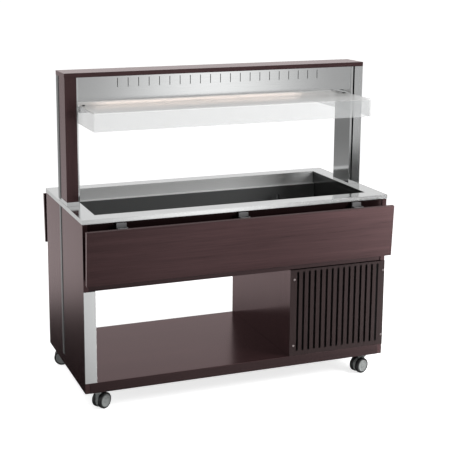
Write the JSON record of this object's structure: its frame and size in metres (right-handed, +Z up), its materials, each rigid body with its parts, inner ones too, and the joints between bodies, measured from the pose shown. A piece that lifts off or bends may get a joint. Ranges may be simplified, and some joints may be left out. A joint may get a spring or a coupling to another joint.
{
  "type": "mobile salad bar",
  "caption": "Mobile chilled salad bar with a panelled body on twin-wheel castors, folding tray slides, a lit bridge and a clear sneeze guard over the well.",
  "frame": {"origin": "on the floor, under the middle of the bar", "axes": "+X along the bar to the right, +Y from front to back, +Z up"},
  "size_m": [1.495, 0.8372, 1.5],
  "materials": {
    "dark_wood": "satin dark wood veneer",
    "stainless": "brushed stainless steel",
    "board_core": "raw board",
    "foam": "rigid foam",
    "copper": "bare copper pipe",
    "white_steel": "gloss white paint",
    "lamp_glass": "lit fluorescent tube",
    "clear_acrylic": "clear acrylic",
    "brown_steel": "satin dark brown paint",
    "black_steel": "black paint",
    "fin_aluminium": "plain aluminium",
    "grey_steel": "zinc-plated grey",
    "black_plastic": "matte black",
    "grey_plastic": "matte light grey",
    "white_plastic": "gloss white",
    "black_tyre": "hard black tread with grey discs"
  },
  "bodies": {
    "cabinet": {"base_tray": "dark_wood", "castor_beam_left": "grey_steel", "castor_beam_right": "grey_steel", "end_panel_left_front": "dark_wood", "end_panel_left_back": "dark_wood", "end_panel_right_front": "dark_wood", "end_panel_right_back": "dark_wood", "end_liner_left": "dark_wood", "end_liner_right": "dark_wood", "corner_post_left_front": "stainless", "corner_post_left_back": "stainless", "corner_post_right_front": "stainless", "corner_post_right_back": "stainless", "apron_front": "dark_wood", "apron_back": "dark_wood", "divider": "dark_wood", "under_panel": "dark_wood", "worktop": "stainless", "worktop_core": "board_core", "well_tank": "stainless", "well_insulation": "foam", "evaporator_coil": "copper", "pillar_post_left": "stainless", "pillar_post_right": "stainless", "pillar_cladding_left": "dark_wood", "pillar_cladding_right": "dark_wood", "pillar_cover_left": "stainless", "pillar_cover_right": "stainless", "bridge_face_front": "stainless", "bridge_face_back": "stainless", "lamp_tray": "white_steel", "lamp_tube": "lamp_glass", "top_board": "dark_wood", "sneeze_guard": "clear_acrylic", "grille_front": "brown_steel", "grille_back": "brown_steel", "compressor": "black_steel", "condenser": "fin_aluminium", "fan_shroud": "black_steel", "control_panel": "black_plastic", "cord_gland": "black_plastic", "flap_hinge_front": "grey_steel", "flap_hinge_back": "grey_steel"},
    "flap_front": {"flap_frame_front": "grey_steel", "flap_board_front": "dark_wood"},
    "flap_back": {"flap_frame_back": "grey_steel", "flap_board_back": "dark_wood"},
    "standpipe": {"standpipe": "stainless"},
    "fan": {"fan_blade": "fin_aluminium"},
    "thermostat_knob": {"thermostat_knob": "grey_plastic"},
    "power_switch": {"power_switch": "white_plastic"},
    "light_switch": {"light_switch": "white_plastic"},
    "castor_left_front": {"castor_fork_left_front": "grey_plastic"},
    "castor_left_back": {"castor_fork_left_back": "grey_plastic"},
    "castor_right_front": {"castor_fork_right_front": "grey_plastic"},
    "castor_right_back": {"castor_fork_right_back": "grey_plastic"},
    "wheels_left_front": {"castor_wheels_left_front": "black_tyre"},
    "wheels_left_back": {"castor_wheels_left_back": "black_tyre"},
    "wheels_right_front": {"castor_wheels_right_front": "black_tyre"},
    "wheels_right_back": {"castor_wheels_right_back": "black_tyre"}
  },
  "joints": [
    {"name": "flap_front_fold", "type": "hinge", "parent": "cabinet", "child": "flap_front", "pos_m": [0, -0.385, 0.846], "axis": [-1, 0, 0], "range_deg": [0, 93.3]},
    {"name": "flap_back_fold", "type": "hinge", "parent": "cabinet", "child": "flap_back", "pos_m": [0, 0.385, 0.846], "axis": [1, 0, 0], "range_deg": [0, 93.3]},
    {"name": "standpipe_lift", "type": "slide", "parent": "cabinet", "child": "standpipe", "axis": [0, 0, 1], "range_m": [0, 0.1]},
    {"name": "fan_spin", "type": "hinge", "parent": "cabinet", "child": "fan", "pos_m": [0.48, -0.244, 0.2783], "axis": [0, 1, 0], "continuous": true},
    {"name": "thermostat_turn", "type": "hinge", "parent": "cabinet", "child": "thermostat_knob", "pos_m": [0.45, 0.362, 0.5047], "axis": [0, 1, 0], "range_deg": [0, 270]},
    {"name": "power_switch_rock", "type": "hinge", "parent": "cabinet", "child": "power_switch", "pos_m": [0.52, 0.3501, 0.5047], "axis": [-1, 0, 0], "range_deg": [0, 16]},
    {"name": "light_switch_rock", "type": "hinge", "parent": "cabinet", "child": "light_switch", "pos_m": [0.56, 0.3501, 0.5047], "axis": [-1, 0, 0], "range_deg": [0, 16]},
    {"name": "castor_swivel_left_front", "type": "hinge", "parent": "cabinet", "child": "castor_left_front", "pos_m": [-0.674, -0.292, 0.09], "axis": [0, 0, 1], "continuous": true},
    {"name": "castor_swivel_left_back", "type": "hinge", "parent": "cabinet", "child": "castor_left_back", "pos_m": [-0.674, 0.292, 0.09], "axis": [0, 0, 1], "continuous": true},
    {"name": "castor_swivel_right_front", "type": "hinge", "parent": "cabinet", "child": "castor_right_front", "pos_m": [0.674, -0.292, 0.09], "axis": [0, 0, 1], "continuous": true},
    {"name": "castor_swivel_right_back", "type": "hinge", "parent": "cabinet", "child": "castor_right_back", "pos_m": [0.674, 0.292, 0.09], "axis": [0, 0, 1], "continuous": true},
    {"name": "wheel_spin_left_front", "type": "hinge", "parent": "castor_left_front", "child": "wheels_left_front", "pos_m": [-0.65365, -0.27928, 0.0375], "axis": [-0.5299, 0.848, 0], "continuous": true},
    {"name": "wheel_spin_left_back", "type": "hinge", "parent": "castor_left_back", "child": "wheels_left_back", "pos_m": [-0.69695, 0.29902, 0.0375], "axis": [-0.2924, -0.9563, 0], "continuous": true},
    {"name": "wheel_spin_right_front", "type": "hinge", "parent": "castor_right_front", "child": "wheels_right_front", "pos_m": [0.65105, -0.29902, 0.0375], "axis": [0.2924, -0.9563, 0], "continuous": true},
    {"name": "wheel_spin_right_back", "type": "hinge", "parent": "castor_right_back", "child": "wheels_right_back", "pos_m": [0.68943, 0.27361, 0.0375], "axis": [0.766, 0.6428, 0], "continuous": true}
  ]
}
